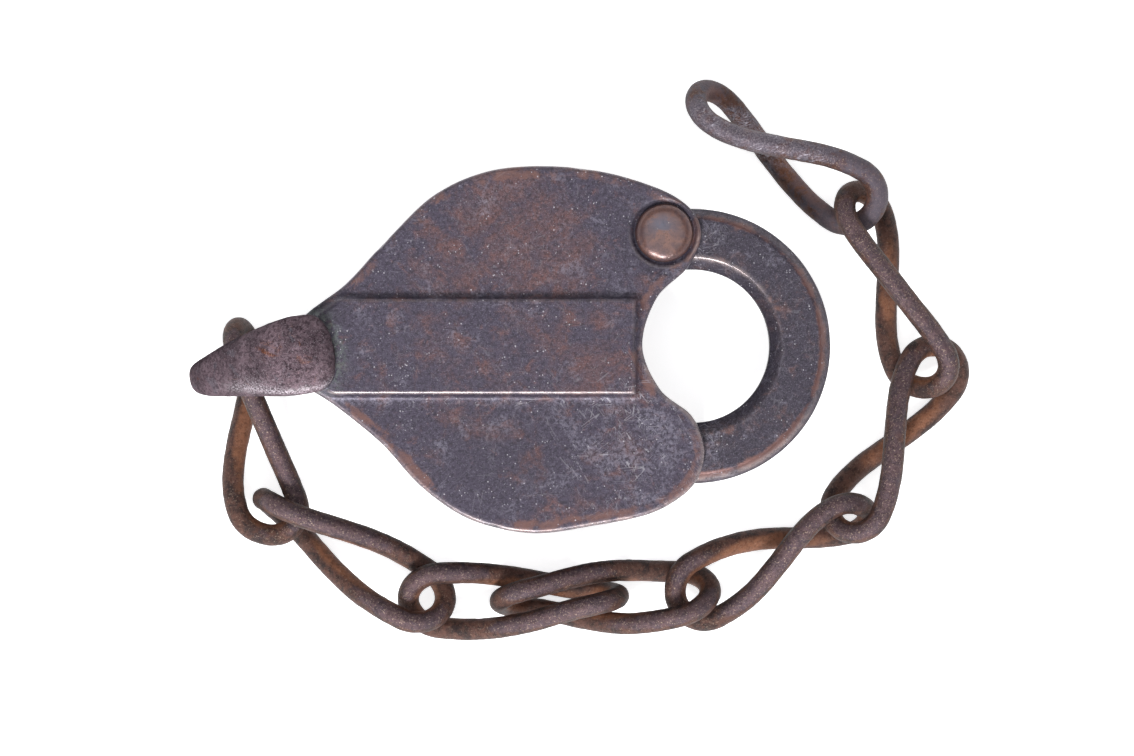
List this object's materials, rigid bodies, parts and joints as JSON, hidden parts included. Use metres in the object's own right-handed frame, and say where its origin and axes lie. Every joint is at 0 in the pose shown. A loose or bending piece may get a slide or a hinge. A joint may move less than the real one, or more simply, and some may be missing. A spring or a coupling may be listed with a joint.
{
  "type": "switch padlock",
  "caption": "Heart-shaped cast padlock with a flat swinging shackle, a swivelling chain bow at its point and a hand-twisted iron chain.",
  "frame": {"origin": "on the flat back face, the side with the keyhole, near the middle of the case", "axes": "+Z out of the plain front face, +X from the case's point towards the shackle, +Y towards the side with the pivot rivet; the lock lies on its back face at z = 0"},
  "size_m": [0.1232, 0.0887, 0.0253],
  "materials": {
    "bronze": "dark worn patina, brown where it is rubbed",
    "copper": "copper-brown, rubbed smooth",
    "forged_iron": "dark, finely pitted, with rust spots",
    "rusty_iron": "brown rust, rubbed grey on top",
    "steel": "dull, hidden inside the case"
  },
  "bodies": {
    "case": {"case_front": "bronze", "case_back": "bronze", "case_rivets": "bronze", "pivot_rivet": "copper", "lock_plate": "steel", "bolt_keeper": "steel", "bolt_spring": "steel", "drill_pin": "steel", "ward_ring": "bronze", "drop_rivet": "copper"},
    "shackle": {"shackle": "bronze"},
    "bolt": {"bolt": "steel"},
    "drop": {"keyhole_drop": "bronze"},
    "bow": {"chain_bow": "forged_iron", "bow_rivet": "forged_iron"},
    "link_1": {"chain_link_1": "rusty_iron"},
    "link_2": {"chain_link_2": "rusty_iron"},
    "link_3": {"chain_link_3": "rusty_iron"},
    "link_4": {"chain_link_4": "rusty_iron"},
    "link_5": {"chain_link_5": "rusty_iron"},
    "link_6": {"chain_link_6": "rusty_iron"},
    "link_7": {"chain_link_7": "rusty_iron"},
    "link_8": {"chain_link_8": "rusty_iron"}
  },
  "joints": [
    {"name": "shackle_swing", "type": "hinge", "parent": "case", "child": "shackle", "pos_m": [0.02567, 0.01767, 0.016], "axis": [0, 0, 1], "range_deg": [0, 80]},
    {"name": "bolt_slide", "type": "slide", "parent": "case", "child": "bolt", "axis": [0, -1, 0], "range_m": [0, 0.003]},
    {"name": "drop_swing", "type": "hinge", "parent": "case", "child": "drop", "pos_m": [0.0175, -0.004, 0.001], "axis": [0, 0, 1], "range_deg": [0, 60]},
    {"name": "bow_swivel", "type": "hinge", "parent": "case", "child": "bow", "pos_m": [-0.0284, -0.0009, 0.012], "axis": [0, 0, 1], "range_deg": [-30, 2]},
    {"name": "link_1_swing", "type": "hinge", "parent": "bow", "child": "link_1", "pos_m": [-0.0415, -0.001, 0.006], "axis": [0, 0, 1], "range_deg": [-15, 2]},
    {"name": "link_2_swing", "type": "hinge", "parent": "link_1", "child": "link_2", "pos_m": [-0.0365, -0.027, 0.006], "axis": [0, 0, 1], "range_deg": [-20, 2]},
    {"name": "link_3_swing", "type": "hinge", "parent": "link_2", "child": "link_3", "pos_m": [-0.012, -0.041, 0.006], "axis": [0, 0, 1], "range_deg": [-20, 2]},
    {"name": "link_4_slide", "type": "slide", "parent": "link_3", "child": "link_4", "axis": [1, 0, 0], "range_m": [-0.002, 0.003]},
    {"name": "link_5_swing", "type": "hinge", "parent": "link_4", "child": "link_5", "pos_m": [0.0305, -0.0395, 0.006], "axis": [0, 0, 1], "range_deg": [-15, 4]},
    {"name": "link_6_swing", "type": "hinge", "parent": "link_5", "child": "link_6", "pos_m": [0.056, -0.0275, 0.006], "axis": [0, 0, 1], "range_deg": [-12, 6]},
    {"name": "link_7_swing", "type": "hinge", "parent": "link_6", "child": "link_7", "pos_m": [0.0695, -0.0035, 0.006], "axis": [0, 0, 1], "range_deg": [-4, 6]},
    {"name": "link_8_swing", "type": "hinge", "parent": "link_7", "child": "link_8", "pos_m": [0.057, 0.0225, 0.006], "axis": [0, 0, 1], "range_deg": [-8, 10]}
  ]
}
